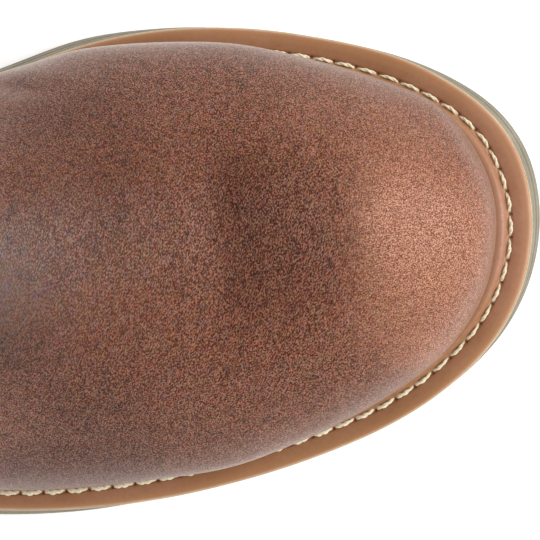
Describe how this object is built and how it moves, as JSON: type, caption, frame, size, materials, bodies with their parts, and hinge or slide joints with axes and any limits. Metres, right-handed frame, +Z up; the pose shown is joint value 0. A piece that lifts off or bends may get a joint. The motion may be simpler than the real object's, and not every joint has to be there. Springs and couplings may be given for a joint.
{
  "type": "wellington work boot",
  "caption": "Pull-on leather work boot with a round toe, stitched welt, lugged rubber sole with a block heel and a straight open shaft; worn on the right foot.",
  "frame": {"origin": "bottom centre of the bounding box, on the floor under the middle of the sole", "axes": "+X to the toe, +Y to the inner side of the right foot, +Z up"},
  "size_m": [0.31, 0.1158, 0.2769],
  "materials": {
    "outsole_rubber": "matte, finely ribbed edge",
    "midsole_rubber": "matte",
    "welt_leather": "smooth satin",
    "upper_leather": "pebbled grain, oiled and burnished",
    "insole_cloth": "matte",
    "binding_leather": "satin",
    "seam_leather": "satin"
  },
  "bodies": {
    "root": {"outsole": "outsole_rubber", "midsole": "midsole_rubber", "welt": "welt_leather", "upper": "upper_leather", "insole": "insole_cloth", "collar_binding": "binding_leather", "side_seam_medial": "seam_leather", "side_seam_lateral": "seam_leather"}
  },
  "joints": []
}
